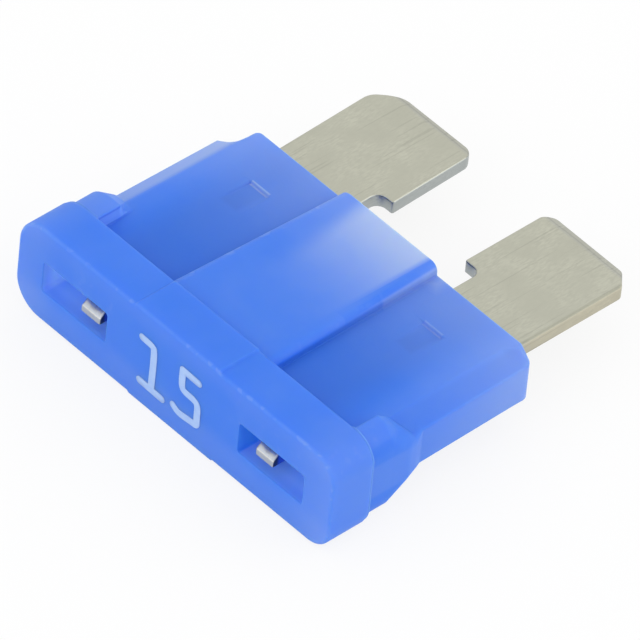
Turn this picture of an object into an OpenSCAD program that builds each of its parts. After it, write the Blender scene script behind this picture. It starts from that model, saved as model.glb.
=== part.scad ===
// Automotive blade fuse of the regular size, 15 A: a stamped metal element with two flat
// blades, held in a one-piece moulded housing of milky blue plastic, with its rating printed
// on the head. It lies on a broad side: X runs along the head, Y from the head to the blade
// tips, and Z through the thickness. The origin is under the middle of the overall box.

/* [Blades] */
// Distance over the outer edges of the two blades
blade_span = 14.5; // [13.5:0.1:15.5]
// Width of one blade
blade_w = 5.15; // [4.6:0.05:5.4]
// Thickness of the stamped metal
metal_t = 0.65; // [0.5:0.05:0.9]
// Length of the blades outside the housing
blade_len = 7.0; // [5.5:0.1:8]
// Corner cut at the outer tip of the left blade
tip_cut_left = 1.15; // [0.3:0.05:1.6]
// Corner cut at the outer tip of the right blade
tip_cut_right = 0.45; // [0.3:0.05:1.6]
// Corner cut at the inner tips of both blades
tip_cut_inner = 0.3; // [0.1:0.05:0.8]
// Depth of the lead-in bevel on each face of a tip
lead_depth = 0.18; // [0.1:0.01:0.22]
// Length of the lead-in bevel along the blade
lead_len = 0.5; // [0.2:0.05:1.2]
// Depth of the notch in the inner edge of a blade, outside the housing
notch_depth = 0.9; // [0.5:0.05:1.2]
// Length of the notch, from the housing towards the tip
notch_len = 2.35; // [1.2:0.05:3]
// Corner radius in the notch
notch_r = 0.35; // [0.1:0.05:0.5]

/* [Element inside the housing] */
// Distance from the outer edge of a blade to the middle of its test tip
tip_inset = 1.9; // [1.5:0.05:2.4]
// Width of a test tip
test_w = 1.05; // [0.8:0.05:1.4]
// How far the end of a test tip lies behind the face of the head
test_setback = 0.22; // [0.1:0.02:0.5]
// Diameter of the hole in each blade that the staked plastic fills
stake_hole_d = 1.5; // [1:0.1:2]
// Thickness of the fuse link, which is coined thinner than the blades
link_t = 0.3; // [0.2:0.02:0.4]
// Width of the fuse link
link_w = 0.8; // [0.5:0.05:1]
// Mean radius of the arch of the fuse link
link_r = 1.3; // [1:0.05:1.5]
// Height of the straight legs of the fuse link
link_leg = 2.4; // [1:0.1:3.5]
// Room between the arch of the link and the closed end of its hollow
link_room = 0.5; // [0.3:0.05:0.9]

/* [Housing body] */
// Length of the housing, from the face of the head to the blade end
housing_len = 11.7; // [11:0.1:13]
// Side wall from the outer edge of a blade to the side of the body
side_wall = 1.65; // [1.4:0.05:2]
// Wall between the metal and the outside of a side panel
panel_wall = 1.125; // [0.8:0.025:1.4]
// Width of the bevel along each side panel
bevel_w = 0.95; // [0.4:0.05:1.1]
// Height of the bevel along each side panel
bevel_h = 0.55; // [0.3:0.05:0.7]
// Corner radius at the blade end of the body
end_r = 0.45; // [0.2:0.05:0.9]
// Distance from the blade end at which the edge of the left flank stops
flank_stop = 1.4; // [0.8:0.1:2]
// Clearance between the metal and the plastic around it
fit_gap = 0.05; // [0.02:0.01:0.1]

/* [Bulge over the fuse link] */
// Width of the bulge
bulge_w = 6.2; // [5.4:0.1:6.8]
// Rise of the bulge above a side panel
bulge_rise = 0.6; // [0.3:0.05:0.9]
// Corner radius along the bulge
bulge_r = 0.45; // [0.1:0.05:0.5]
// Wall of the bulge, around the hollow for the link
bulge_wall = 0.65; // [0.5:0.05:0.9]

/* [Head] */
// Length of the head along Y
head_len = 2.3; // [2.2:0.1:3]
// How far the head stands out past the side of the body
head_over = 0.65; // [0.4:0.05:1]
// How far the head stands out above the bulge
head_rise = 0.45; // [0.2:0.05:0.7]
// Corner radius at the ends of the head
head_r = 1.7; // [1:0.1:2]
// Depth of the shallow grip flats on the broad faces of the head
grip_depth = 0.07; // [0.03:0.01:0.12]
// Distance from the middle of the head to the start of a grip flat
grip_start = 2.5; // [2:0.1:3.5]
// Distance from the end of the head to the end of a grip flat
grip_margin = 2.0; // [1.8:0.1:3]
// Length of the thinner blocks behind the ends of the head
block_len = 1.25; // [0.8:0.05:1.8]
// Width of one of these blocks
block_w = 1.7; // [1.5:0.1:1.8]
// How much lower than the head a block is, on each side
block_step = 0.2; // [0.1:0.02:0.4]
// Length of the slope from a block down to the side of the body
slope_len = 1.5; // [0.8:0.1:2.5]

/* [Test pockets] */
// Width of a test pocket
pocket_w = 3.9; // [3:0.1:4.2]
// Height of a test pocket
pocket_h = 1.55; // [1.2:0.05:1.9]
// Depth of a test pocket
pocket_depth = 1.5; // [1:0.1:1.7]
// How much further out than its test tip the middle of a pocket lies
pocket_shift = 0.58; // [0:0.02:0.8]
// Wall behind a test pocket, up to the slot for the blades
pocket_wall = 0.8; // [0.5:0.1:1.2]

/* [Staking marks] */
// Width of a staking mark on a side panel
mark_w = 1.15; // [0.8:0.05:1.6]
// Length of a staking mark
mark_len = 1.8; // [1:0.1:2.4]
// Depth of a staking mark at its steep end
mark_depth = 0.35; // [0.15:0.05:0.5]
// Distance from the blade end to the steep end of a staking mark
mark_end = 2.25; // [1.6:0.05:3]

/* [Printed rating] */
// Height of the printed digits, between the middles of the strokes
digit_h = 2.3; // [1.6:0.05:2.6]
// Width of the printed 5, between the middles of the strokes
five_w = 1.1; // [0.8:0.05:1.3]
// Height of the bowl of the 5
bowl_h = 1.3; // [1:0.05:1.4]
// Radius of the bowl's corners
bowl_r = 0.35; // [0.2:0.05:0.4]
// Width of the foot of the printed 1
foot_w = 1.5; // [0.8:0.05:1.6]
// Distance between the middles of the two digits
digit_pitch = 2.2; // [1.9:0.05:2.4]
// Width of a printed stroke
stroke_w = 0.27; // [0.15:0.01:0.35]
// Thickness of the ink
ink_t = 0.02; // [0.01:0.005:0.04]

/* [Hidden] */

total_len = housing_len + blade_len;
body_w = blade_span + 2 * side_wall;
head_w = body_w + 2 * head_over;
panel_t = metal_t + 2 * (fit_gap + panel_wall);
bulge_t = panel_t + 2 * bulge_rise;
head_t = bulge_t + 2 * head_rise;
band_t = panel_t - 2 * bevel_h;
panel_w = body_w - 2 * bevel_w;
block_h = head_t - 2 * block_step;
grip_len = head_w / 2 - grip_margin - grip_start;
block_end = head_len + block_len;
slope_end = block_end + slope_len;

blade_out = blade_span / 2;
blade_in = blade_out - blade_w;
neck_in = blade_in + notch_depth;
test_x = blade_out - tip_inset;
pocket_x = test_x + pocket_shift;

slot_start = pocket_depth + pocket_wall;
metal_start = slot_start + fit_gap;
cavity_w = bulge_w - 2 * bulge_wall;
cavity_t = bulge_t - 2 * bulge_wall;
cavity_start = head_len + bulge_wall;
link_y = cavity_start + link_room + link_w / 2 + link_r;
link_foot = link_y + link_leg;
stake_y = housing_len - mark_end - mark_len / 2;

// A little overlap, so that joined solids share volume
lap = 0.02;
arc_fn = 48;
fine_fn = 32;

// Puts a part drawn around the middle plane, with the face of the head at y = 0, in its place
module laid() {
    translate([0, -(total_len - ink_t) / 2, head_t / 2]) children();
}

// Carries a section, drawn as x and height, along Y from y0 to y1
module along_y(y0, y1) {
    translate([0, y1, 0]) rotate([90, 0, 0]) linear_extrude(y1 - y0) children();
}

module mirrored_x() {
    children();
    mirror([1, 0, 0]) children();
}

module mirrored_z() {
    children();
    mirror([0, 0, 1]) children();
}

module rounded_rect(w, h, r) {
    square([w - 2 * r, h], center = true);
    square([w, h - 2 * r], center = true);
    for (sx = [-1, 1], sy = [-1, 1])
        translate([sx * (w / 2 - r), sy * (h / 2 - r)]) circle(r, $fn = arc_fn);
}

// Section of the body through the side panels, with its bevelled edges
module body_section() {
    polygon([
        [-panel_w / 2, panel_t / 2], [panel_w / 2, panel_t / 2],
        [body_w / 2, band_t / 2], [body_w / 2, -band_t / 2],
        [panel_w / 2, -panel_t / 2], [-panel_w / 2, -panel_t / 2],
        [-body_w / 2, -band_t / 2], [-body_w / 2, band_t / 2]
    ]);
}

// Plan of the body: round corners at the blade end, and the left edge stops short
module body_plan() {
    difference() {
        translate([-body_w / 2, 0]) square([body_w, housing_len - end_r]);
        translate([-body_w / 2 - lap, housing_len - flank_stop])
            square([bevel_w + lap, flank_stop + lap]);
    }
    translate([-panel_w / 2, 0]) square([panel_w, housing_len - end_r]);
    translate([-panel_w / 2 + end_r, 0])
        square([panel_w / 2 + body_w / 2 - 2 * end_r, housing_len]);
    for (x = [-panel_w / 2 + end_r, body_w / 2 - end_r])
        translate([x, housing_len - end_r]) circle(end_r, $fn = arc_fn);
    polygon([
        [-body_w / 2, housing_len - flank_stop - lap], [-body_w / 2, housing_len - flank_stop],
        [-panel_w / 2, housing_len - end_r], [-panel_w / 2, housing_len - flank_stop - lap]
    ]);
}

module body() {
    intersection() {
        along_y(head_len - lap, housing_len) body_section();
        translate([0, 0, -panel_t]) linear_extrude(2 * panel_t) body_plan();
    }
    along_y(head_len - lap, housing_len) rounded_rect(bulge_w, bulge_t, bulge_r);
}

// The head, with a shallow grip flat on each side of its middle, above and below
module head() {
    difference() {
        along_y(0, head_len) rounded_rect(head_w, head_t, head_r);
        mirrored_x() mirrored_z()
            translate([grip_start, -lap, head_t / 2 - grip_depth])
                cube([grip_len, head_len + 2 * lap, head_t]);
    }
}

// The thinner block behind each end of the head, and its slope down to the body
module shoulder_blocks() {
    block_r = head_r - block_step;
    block_x = head_w / 2 - block_step - block_w;
    mirrored_x() {
        intersection() {
            along_y(head_len - lap, block_end)
                rounded_rect(head_w - 2 * block_step, block_h, block_r);
            translate([block_x, 0, -head_t]) cube([head_w, housing_len, 2 * head_t]);
        }
        hull() {
            along_y(block_end - lap, block_end)
                translate([block_x, -panel_t / 2])
                    square([head_w / 2 - block_step - block_r / 3 - block_x, panel_t]);
            along_y(block_end - lap, block_end)
                translate([block_x, -band_t / 2])
                    square([head_w / 2 - block_step - block_x, band_t]);
            along_y(slope_end - lap, slope_end)
                translate([block_x, -band_t / 2]) square([body_w / 2 - block_x, band_t]);
        }
    }
}

// What is hollow: the slot for the metal, the room for the link, and the test pockets
module hollows() {
    slot_t = metal_t + 2 * fit_gap;
    slot_w = blade_span + 2 * fit_gap;
    translate([-slot_w / 2, slot_start, -slot_t / 2])
        cube([slot_w, housing_len, slot_t]);
    translate([-cavity_w / 2, cavity_start, -cavity_t / 2])
        cube([cavity_w, housing_len, cavity_t]);
    mirrored_x() {
        translate([pocket_x - pocket_w / 2, -lap, -pocket_h / 2])
            cube([pocket_w, pocket_depth + lap, pocket_h]);
        translate([test_x - test_w / 2 - fit_gap, pocket_depth - lap, -slot_t / 2])
            cube([test_w + 2 * fit_gap, pocket_wall + 2 * lap, slot_t]);
    }
}

// A staking mark: a ramp pressed into the panel, steep at the end near the blades
module staking_marks() {
    top = panel_t / 2;
    y1 = housing_len - mark_end;
    mirrored_x() mirrored_z()
        translate([test_x - mark_w / 2, 0, 0]) rotate([90, 0, 90]) linear_extrude(mark_w)
            polygon([[y1 - mark_len, top + lap], [y1, top - mark_depth], [y1, top + lap]]);
}

module housing() {
    color("royalblue") laid() {
        difference() {
            union() {
                head();
                shoulder_blocks();
                body();
            }
            hollows();
            staking_marks();
        }
        mirrored_x() translate([test_x, stake_y, -metal_t / 2 - 2 * fit_gap])
            cylinder(h = metal_t + 4 * fit_gap, d = stake_hole_d - 2 * fit_gap, $fn = fine_fn);
    }
}

// Plan of one blade, on the right: its test tip, its body in the housing, and the blade
module blade_plan(outer_cut) {
    notch_end = housing_len + notch_len;
    difference() {
        union() {
            polygon([
                [neck_in, metal_start], [blade_out, metal_start],
                [blade_out, total_len - outer_cut], [blade_out - outer_cut, total_len],
                [blade_in + tip_cut_inner, total_len], [blade_in, total_len - tip_cut_inner],
                [blade_in, notch_end], [neck_in, notch_end]
            ]);
            translate([test_x - test_w / 2, test_setback])
                square([test_w, metal_start - test_setback + lap]);
        }
        translate([test_x, stake_y]) circle(d = stake_hole_d, $fn = fine_fn);
    }
    difference() {
        translate([neck_in - notch_r, notch_end - notch_r]) square(notch_r + lap);
        translate([neck_in - notch_r, notch_end - notch_r]) circle(notch_r, $fn = fine_fn);
    }
}

// The lead-in bevel that is coined on both faces of the tips
module lead_ins() {
    top = metal_t / 2;
    mirrored_z()
        translate([-blade_span, 0, 0]) rotate([90, 0, 90]) linear_extrude(2 * blade_span)
            polygon([
                [total_len - lead_len, top], [total_len, top - lead_depth],
                [total_len + lap, top - lead_depth], [total_len + lap, top + lap],
                [total_len - lead_len, top + lap]
            ]);
}

// The fuse link: a thin flat ribbon that arches from blade to blade inside the bulge
module link() {
    translate([0, 0, -link_t / 2]) linear_extrude(link_t) {
        difference() {
            translate([0, link_y]) circle(link_r + link_w / 2, $fn = arc_fn);
            translate([0, link_y]) circle(link_r - link_w / 2, $fn = arc_fn);
            translate([-bulge_w, link_y]) square([2 * bulge_w, bulge_w]);
        }
        for (s = [-1, 1]) {
            translate([s * link_r - link_w / 2, link_y - lap]) square([link_w, link_leg + lap]);
            translate([s > 0 ? link_r - link_w / 2 : -neck_in - lap, link_foot - link_w])
                square([neck_in + lap - link_r + link_w / 2, link_w]);
        }
    }
}

module fuse_element() {
    color("silver") laid() {
        difference() {
            translate([0, 0, -metal_t / 2]) linear_extrude(metal_t) {
                blade_plan(tip_cut_right);
                mirror([1, 0]) blade_plan(tip_cut_left);
            }
            lead_ins();
        }
        link();
    }
}

// A printed stroke with round ends, from point a to point b
module stroke(a, b) {
    d = b - a;
    translate(a) circle(d = stroke_w, $fn = fine_fn);
    translate(b) circle(d = stroke_w, $fn = fine_fn);
    translate(a) rotate(atan2(d[1], d[0])) translate([0, -stroke_w / 2])
        square([norm(d), stroke_w]);
}

module stroke_path(points) {
    for (i = [0 : len(points) - 2]) stroke(points[i], points[i + 1]);
}

// Points on a quarter turn, clockwise from the angle a0, around the point c
function quarter(c, r, a0) = [for (i = [0 : 3]) c + r * [cos(a0 - 30 * i), sin(a0 - 30 * i)]];

// The numerals 1 and 5, drawn around their own middles with plain strokes
module digit_one() {
    top = digit_h / 2;
    side = foot_w / 2;
    stroke_path([[-side, top], [0, top], [0, -top]]);
    stroke_path([[-side, -top], [side, -top]]);
}

module digit_five() {
    top = digit_h / 2;
    side = five_w / 2;
    bowl_top = bowl_h - top;
    stroke_path(concat(
        [[side, top], [-side, top], [-side, bowl_top]],
        quarter([side - bowl_r, bowl_top - bowl_r], bowl_r, 90),
        quarter([side - bowl_r, bowl_r - top], bowl_r, 0),
        [[-side, -top]]
    ));
}

module rating_number() {
    color("white") laid() along_y(-ink_t, 0) {
        translate([-digit_pitch / 2, 0]) digit_one();
        translate([digit_pitch / 2, 0]) digit_five();
    }
}

housing();
fuse_element();
rating_number();
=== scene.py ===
# %% [markdown]
# A plug-in blade fuse, 19 mm wide, lies on a pale floor. It has three pieces: a moulded housing of
# milky blue plastic, one stamped metal element whose two blades stand out of it, and a printed
# number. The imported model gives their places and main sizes. This lesson builds the surfaces that
# the photo shows, with their small radii, and then the finishes, the light and the camera.

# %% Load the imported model
import math
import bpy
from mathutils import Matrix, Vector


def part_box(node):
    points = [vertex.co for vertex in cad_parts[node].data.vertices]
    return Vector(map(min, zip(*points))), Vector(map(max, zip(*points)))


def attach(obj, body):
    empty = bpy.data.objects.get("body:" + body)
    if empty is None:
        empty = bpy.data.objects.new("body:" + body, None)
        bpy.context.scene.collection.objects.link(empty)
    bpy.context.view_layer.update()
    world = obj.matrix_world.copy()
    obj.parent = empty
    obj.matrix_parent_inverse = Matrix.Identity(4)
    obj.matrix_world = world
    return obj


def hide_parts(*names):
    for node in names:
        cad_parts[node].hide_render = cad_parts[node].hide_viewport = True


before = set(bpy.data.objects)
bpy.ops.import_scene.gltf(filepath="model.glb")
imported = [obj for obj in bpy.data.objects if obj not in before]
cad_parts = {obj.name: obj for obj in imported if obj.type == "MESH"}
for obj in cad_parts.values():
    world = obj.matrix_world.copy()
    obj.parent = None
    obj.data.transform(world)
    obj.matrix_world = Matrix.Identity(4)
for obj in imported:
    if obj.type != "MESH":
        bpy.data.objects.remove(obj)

from types import SimpleNamespace

import bmesh
import bpy
import numpy as np
from mathutils import Matrix, Vector, geometry

MM = 0.001
scene = bpy.context.scene
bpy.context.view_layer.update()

# %% [markdown]
# The shapes are easiest to think of in millimetres, with y = 0 at the face of the head and z = 0
# at the middle plane, because the fuse is the same above and below that plane. The housing's own
# box says where that place is in the frame, so nothing has to be fitted by eye.

# %% The fuse's own place in the frame
housing_low, housing_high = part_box("housing")
metal_low, metal_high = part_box("fuse_element")
FACE_Y = housing_low.y / MM
MID_Z = (housing_low.z + housing_high.z) / 2 / MM
HEAD_X = housing_high.x / MM
HEAD_Z = (housing_high.z - housing_low.z) / 2 / MM
HOUSING_LEN = (housing_high.y - housing_low.y) / MM
TOTAL_LEN = (metal_high.y - housing_low.y) / MM
METAL_Z = (metal_high.z - metal_low.z) / 2 / MM


def to_frame(points):
    """Fuse millimetres to metres in the frame: add the place of the fuse, then scale by 0.001."""
    return (np.asarray(points, float) + [0.0, FACE_Y, MID_Z]) * MM


print("head", round(2 * HEAD_X, 2), "x", round(2 * HEAD_Z, 2), "mm, over the blades", round(TOTAL_LEN, 2))

# %% [markdown]
# Every moulded or stamped edge is a little round, and that is what catches the light. A corner of
# a polygon is rounded with a conic arc: it touches both edges at the same distance from the corner,
# and with the right weight it is a true circle. The number of points on an arc never changes, so
# that sections of different shape can be joined point by point.

# %% Round corners
LEAST_REACH, MOST_SHARE = 0.004, 0.98


def round_corner(a, p, b, radius, steps):
    """A circle arc around the corner p, between the edges to a and b.
    It starts at radius / tan(half the angle) from p, and its weight is sin(half the angle). It never
    starts closer to p than LEAST_REACH, nor takes more than MOST_SHARE of an edge."""
    u, v = a - p, b - p
    lu, lv = np.hypot(*u), np.hypot(*v)
    u, v = u / lu, v / lv
    half = 0.5 * math.acos(float(np.clip(u @ v, -1, 1)))
    reach = max(radius * math.cos(half) / max(math.sin(half), 1e-6), LEAST_REACH)
    reach = min(reach, MOST_SHARE * lu, MOST_SHARE * lv)
    t = np.linspace(0, 1, steps)[:, None]
    weight = math.sin(half)
    near, middle, far = (1 - t) ** 2, 2 * weight * t * (1 - t), t**2
    return (near * (p + u * reach) + middle * p + far * (p + v * reach)) / (near + middle + far)


def edge_cuts(corners, longest):
    """Into how many lengths each edge of an outline is cut, so that none is longer than longest."""
    edge = np.roll(corners[:, :2], -1, 0) - corners[:, :2]
    return np.ceil(np.hypot(edge[:, 0], edge[:, 1]) / longest).astype(int)


def rounded_loop(corners, steps, cuts):
    """A closed outline from rows of x, y and radius, with the same count of points on each arc and
    the given count of lengths on each straight edge."""
    points, radii = corners[:, :2], corners[:, 2]
    before, after = np.roll(points, 1, 0), np.roll(points, -1, 0)
    arcs = [round_corner(a, p, b, r, steps) for a, p, b, r in zip(before, points, after, radii)]
    loop = []
    for arc, following, count in zip(arcs, arcs[1:] + arcs[:1], cuts):
        loop += [arc, arc[-1] + (following[0] - arc[-1]) * np.arange(1, count)[:, None] / count]
    return np.vstack(loop)


def offset_corners(corners, distance):
    """Moves each edge of a counter-clockwise outline out by distance: a corner moves along the sum
    of its two edge normals. An outer corner's radius grows by the distance, an inner one's shrinks."""
    corners = np.asarray(corners, float)
    edge = np.roll(corners[:, :2], -1, 0) - corners[:, :2]
    normal = np.stack([edge[:, 1], -edge[:, 0]], 1) / np.hypot(edge[:, 0], edge[:, 1])[:, None]
    before = np.roll(normal, 1, 0)
    turn = before[:, 0] * normal[:, 1] - before[:, 1] * normal[:, 0]
    moved = corners.copy()
    moved[:, :2] += distance * (before + normal) / (1 + (before * normal).sum(1))[:, None]
    moved[:, 2] = np.maximum(corners[:, 2] + distance * np.sign(np.round(turn, 6)), 0.0)
    return moved


sample_arc = round_corner(*np.array([[1.0, 0.0], [0.0, 0.0], [0.0, 1.0]]), 0.5, 3)
print("a right angle rounded by 0.5, in three points:", sample_arc.round(3).tolist())

# %% [markdown]
# A surface here is a stack of rings with the same number of points each. Neighbouring rings are
# joined by quads, and a flat face is filled with triangles between its outer loop and its holes.
# The parts of one piece share their border points, so merging closes it, and the direction of its
# faces is worked out once it is closed.

# %% Surfaces and pieces
MERGE_DIST, LEAST_EDGE = 0.0001 * MM, 0.00005 * MM


def loft(rings):
    """Quads between neighbouring rings: point j of ring i joins point j of ring i + 1."""
    count, size = rings.shape[:2]
    i, j = np.meshgrid(np.arange(count - 1), np.arange(size), indexing="ij")
    k = (j + 1) % size
    quads = np.stack([i * size + j, i * size + k, (i + 1) * size + k, (i + 1) * size + j], -1)
    return rings.reshape(-1, 3), quads.reshape(-1, 4)


def is_inside(points, loop):
    """Even-odd rule: a point is inside when a ray from it crosses the loop an odd number of times."""
    a, b = loop, np.roll(loop, -1, 0)
    px, py = points[:, 0][:, None], points[:, 1][:, None]
    spans = (a[:, 1] > py) != (b[:, 1] > py)
    slope = (b[:, 0] - a[:, 0]) / np.where(b[:, 1] == a[:, 1], 1, b[:, 1] - a[:, 1])
    return (spans & (px < slope * (py - a[:, 1]) + a[:, 0])).sum(1) % 2 == 1


def loop_edges(loops):
    """Pairs of neighbouring points of several loops, numbered one loop after the other."""
    starts = np.cumsum([0] + [len(loop) for loop in loops])
    return np.vstack([
        np.stack([np.arange(len(loop)), np.roll(np.arange(len(loop)), -1)], 1) + start
        for loop, start in zip(loops, starts)
    ])


def flat_face(outer, holes=(), inside=None):
    """Triangles inside a loop and outside its holes, as plane points and their triples.
    Loose points may be given too, where the face needs them."""
    loops = [np.asarray(loop) for loop in (outer, *holes)]
    points = np.vstack(loops + ([inside] if inside is not None else []))
    edges = loop_edges(loops).tolist()
    found = geometry.delaunay_2d_cdt(points.tolist(), edges, [], 1, 1e-7)
    triangles = np.array([ids[0] for ids in found[3]])[np.array(found[2])]
    middles = points[triangles].mean(1)
    for hole in loops[1:]:
        triangles, middles = (rows[~is_inside(middles, hole)] for rows in (triangles, middles))
    return points, triangles


def upright(flat, y):
    """Plane points of x and z, stood up as 3-D points at y."""
    return np.stack([flat[:, 0], np.full(len(flat), y), flat[:, 1]], 1)


def make_piece(name, parts, solid):
    """Joins parts, each of points, faces and a value per point, into one closed smooth mesh, and puts it
    in the frame in place of its solid. The value is kept as the attribute 'highlight_value', which places
    the painted highlight along the round edges."""
    points, faces, highlight_values, start = [], [], [], 0
    for part_points, part_faces, highlight_value in parts:
        points.append(part_points)
        faces += (np.asarray(part_faces) + start).tolist()
        highlight_values.append(np.broadcast_to(np.asarray(highlight_value, float), len(part_points)))
        start += len(part_points)
    mesh = bpy.data.meshes.new(name)
    mesh.from_pydata(to_frame(np.vstack(points)).tolist(), [], faces)
    mesh.attributes.new("highlight_value", "FLOAT", "POINT").data.foreach_set("value", np.concatenate(highlight_values))
    work = bmesh.new()
    work.from_mesh(mesh)
    bmesh.ops.remove_doubles(work, verts=work.verts, dist=MERGE_DIST)
    bmesh.ops.dissolve_degenerate(work, edges=work.edges, dist=LEAST_EDGE)
    bmesh.ops.recalc_face_normals(work, faces=work.faces)
    open_edges = sum(not edge.is_manifold for edge in work.edges)
    work.to_mesh(mesh)
    work.free()
    mesh.polygons.foreach_set("use_smooth", np.ones(len(mesh.polygons), bool))
    piece = bpy.data.objects.new(name, mesh)
    scene.collection.objects.link(piece)
    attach(piece, "root")
    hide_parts(solid)
    print(name, len(mesh.vertices), "points,", len(mesh.polygons), "faces,", open_edges, "open edges")
    return piece


# %% [markdown]
# The housing is one section carried along Y. Seen from the head, a quarter of the section is a line
# from the middle of the top to the middle of the side, with six corners. In the head they are the
# two ends of a shallow grip flat, above and below, and the big round end. Behind it they become the
# bulge's edge and foot, the inner wall of the shoulder block and its round end, and further on the
# panel's edge and the bevel's edge. So one list of six corners describes every station. The two
# sides of the real moulding differ a little, so each side has its own few sizes.

# %% Sizes of the housing
HEAD_LEN = 2.27
GRIP_START, GRIP_DEPTH, GRIP_EDGE = 2.5, 0.08, 0.09
BLOCK_END, RAMP_END = 3.53, 4.45
BLOCK_Z, BLOCK_OUT = 2.35, 9.35
BAND_Z = 0.95
RIM, BACK_EDGE, STEP_EDGE, FOOT = 0.16, 0.2, 0.03, 0.06
GRIP_R, BLOCK_EDGE_R, CREASE_R = 0.1, 0.06, 0.3
END_R, END_EDGE = 0.4, 0.07
BEVEL_R, RAMP_R = 0.16, 0.9
# Each drafted size is given at the blade end, with its draft, by which it grows towards the head.
PANEL_Z, BULGE_Z = (1.476, 0.009), (2.05, 0.012)
PANEL_X, SIDE_X = (7.87, 0.02), (8.88, 0.015)
RIGHT = {
    "head_r": 1.2, "block_in": 8.17, "block_r": 1.1, "bulge": (3.03, 0.02), "bulge_r": 0.38,
    "ramp_x": 9.4, "crease_y": 5.0, "crease_x": 0.26, "slope_y": 5.5,
}
LEFT = {
    "head_r": 1.5, "block_in": 7.38, "block_r": 1.4, "bulge": (2.79, 0.033), "bulge_r": 0.5,
    "ramp_x": 9.2, "crease_y": 4.7, "crease_x": 0.03, "slope_y": 4.85,
}
MARK = {"inner": 4.65, "outer": 5.86, "start": 7.6, "end": 9.36, "depth": 0.12, "wall": 0.07}


def mixed(a, b, share):
    """A blend: a where the share is 0, b where it is 1, and a straight line between them."""
    return a + (b - a) * share


def drafted(size, y):
    """The size at the blade end plus the draft times the distance to that end."""
    at_end, draft = size
    return at_end + draft * (HOUSING_LEN - y)


def smooth(low, high, y):
    """Rises from 0 at low to 1 at high, level at both ends: 3 t squared minus 2 t cubed."""
    t = np.clip((y - low) / (high - low), 0, 1)
    return t * t * (3 - 2 * t)


def end_turn(y, radius):
    """How far a round plan corner has drawn the side in, at y: the radius, less the height of the
    quarter circle there."""
    along = max(0.0, y - (HOUSING_LEN - radius))
    return radius - math.sqrt(max(radius**2 - along**2, 0.0))


for place, y in (("behind the head", HEAD_LEN), ("at the blade end", HOUSING_LEN)):
    sizes = [round(2 * drafted(size, y), 2) for size in (SIDE_X, PANEL_Z, BULGE_Z)]
    print(place, "the body is", sizes[0], "mm wide,", sizes[1], "thick, and", sizes[2], "over the bulge")

# %% [markdown]
# At the blade end the two sides part. On the right the bevel runs out, so the panel reaches further
# out there. On the left a slant takes the side in, so that the bevel gets deeper and steeper.

# %% How far out the side and the panel's edge are, near the blade end
SLANT_START, SLANT_END, SLANT_X, SLANT_Z = 10.33, 11.15, 8.35, 0.35
RUN_OUT, RUN_START = 0.5, 10.7
PANEL_END_R = 0.25


def outer_corner(side, y):
    """x and z of the bevel's outer corner. The slant blends both in a straight line along y."""
    slant = 0.0 if side is RIGHT else np.clip((y - SLANT_START) / (SLANT_END - SLANT_START), 0, 1)
    wide = mixed(drafted(SIDE_X, y), SLANT_X, slant) - end_turn(y, END_R)
    return np.array([wide, mixed(BAND_Z, SLANT_Z, slant)])


def panel_edge(side, y):
    """Where the panel turns into the bevel: its drafted width, less the round plan corner."""
    if side is RIGHT:
        return drafted(PANEL_X, y) + RUN_OUT * smooth(RUN_START, HOUSING_LEN, y) - end_turn(y, END_R)
    return drafted(PANEL_X, y) - end_turn(y, PANEL_END_R)


for name, side in (("right", RIGHT), ("left", LEFT)):
    print(name, "bevel's outer corner at y 11:", np.round(outer_corner(side, 11.0), 2).tolist())

# %% The six corners at a station
def head_corners(side, rim=0.0, back=0.0):
    """Rows of x, z and radius for the head. rim draws the section in for the round of the front
    edge, and back does so for the back edge, by less where the shoulder block follows the head.
    Here and below, a corner of radius 0 on a straight line keeps a place for the other sections."""
    top, flat = HEAD_Z - rim - back, HEAD_Z - GRIP_DEPTH - rim
    small, inner = min(back, STEP_EDGE), side["block_in"]
    return np.array([
        [GRIP_START, top, GRIP_R], [GRIP_START + GRIP_EDGE, flat - back, GRIP_R],
        [inner - 0.1, flat - back, 0.0], [inner, flat - small, 0.0], [inner + 0.05, flat - small, 0.0],
        [HEAD_X - rim - small, flat - small, side["head_r"] - rim],
    ])


def block_corners(side, y, swell=0.0):
    """The same behind the head, where swell is the round of a foot."""
    bulge, inner = drafted(side["bulge"], y), side["block_in"]
    crown, level = drafted(BULGE_Z, y), drafted(PANEL_Z, y)
    return np.array([
        [bulge + swell, crown + swell, side["bulge_r"] + swell],
        [bulge + swell, level + swell, FOOT],
        [inner - swell, level + swell, FOOT],
        [inner - swell, BLOCK_Z + swell, BLOCK_EDGE_R],
        [inner + BLOCK_EDGE_R - swell, BLOCK_Z + swell, 0.0],
        [BLOCK_OUT + max(swell, 0.0), BLOCK_Z + swell, side["block_r"] + swell],
    ])


def ramp_corners(side, y):
    """The same at the ramp's foot: the block's top has come down to the panel."""
    bulge, edge, level = drafted(side["bulge"], y), panel_edge(side, y), drafted(PANEL_Z, y)
    return np.array([
        [bulge, drafted(BULGE_Z, y), side["bulge_r"]], [bulge, level, FOOT],
        [min(side["block_in"], edge - 0.1), level, 0.0], [edge, level, 0.0],
        [edge + 0.06, level - 0.03, 0.0], [side["ramp_x"], level, RAMP_R],
    ])


def crease_corners(side, y):
    """The same where the crease, which crosses the bevel on a slant, has come to the side."""
    rows = body_corners(side, y)
    rows[4, :2] = rows[5, :2] + [-0.02, 0.02]
    rows[5] = [drafted(SIDE_X, y) + side["crease_x"], BAND_Z - 0.05, CREASE_R]
    return rows


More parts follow.
